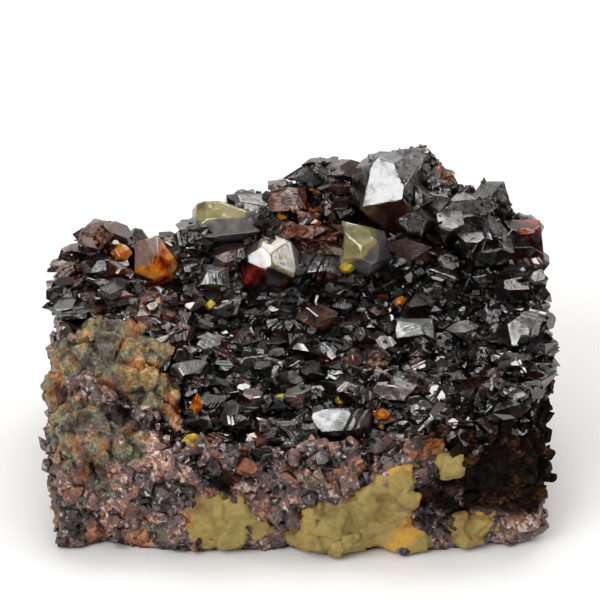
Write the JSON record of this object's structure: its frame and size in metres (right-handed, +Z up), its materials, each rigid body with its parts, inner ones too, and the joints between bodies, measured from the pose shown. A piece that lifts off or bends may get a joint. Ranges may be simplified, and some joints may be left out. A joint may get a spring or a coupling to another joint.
{
  "type": "sphalerite mineral specimen",
  "caption": "Lump of ore matrix with a flat cut base and a crust of dark, sharp-edged sphalerite crystals over its top, larger ones grown together as a crown at the back.",
  "frame": {"origin": "middle of the footprint, on the flat cut base", "axes": "+X along the lump's length, -Y towards the pictured side with the low rim, +Z up"},
  "size_m": [0.0754, 0.0622, 0.0456],
  "materials": {
    "matrix_rock": "granular dark brown and purple-grey ore rock with rust stains, an ochre weathered shoulder and pale yellow gangue",
    "dark_sphalerite": "black-brown crystal faces with a resinous to metallic lustre and fine growth steps",
    "amber_sphalerite": "clear amber crystal, resinous lustre",
    "red_sphalerite": "deep red-brown translucent crystal with bright glassy faces",
    "olive_sphalerite": "cloudy olive-yellow translucent crystal, waxy lustre"
  },
  "bodies": {
    "root": {"matrix": "matrix_rock", "crystal_crust": "dark_sphalerite", "crown_cluster": "dark_sphalerite", "amber_crystal": "amber_sphalerite", "red_brown_crystal": "red_sphalerite", "olive_crystal_left": "olive_sphalerite", "olive_crystal_right": "olive_sphalerite", "grey_rim_crystal": "dark_sphalerite", "pale_edge_crystal": "dark_sphalerite"}
  },
  "joints": []
}
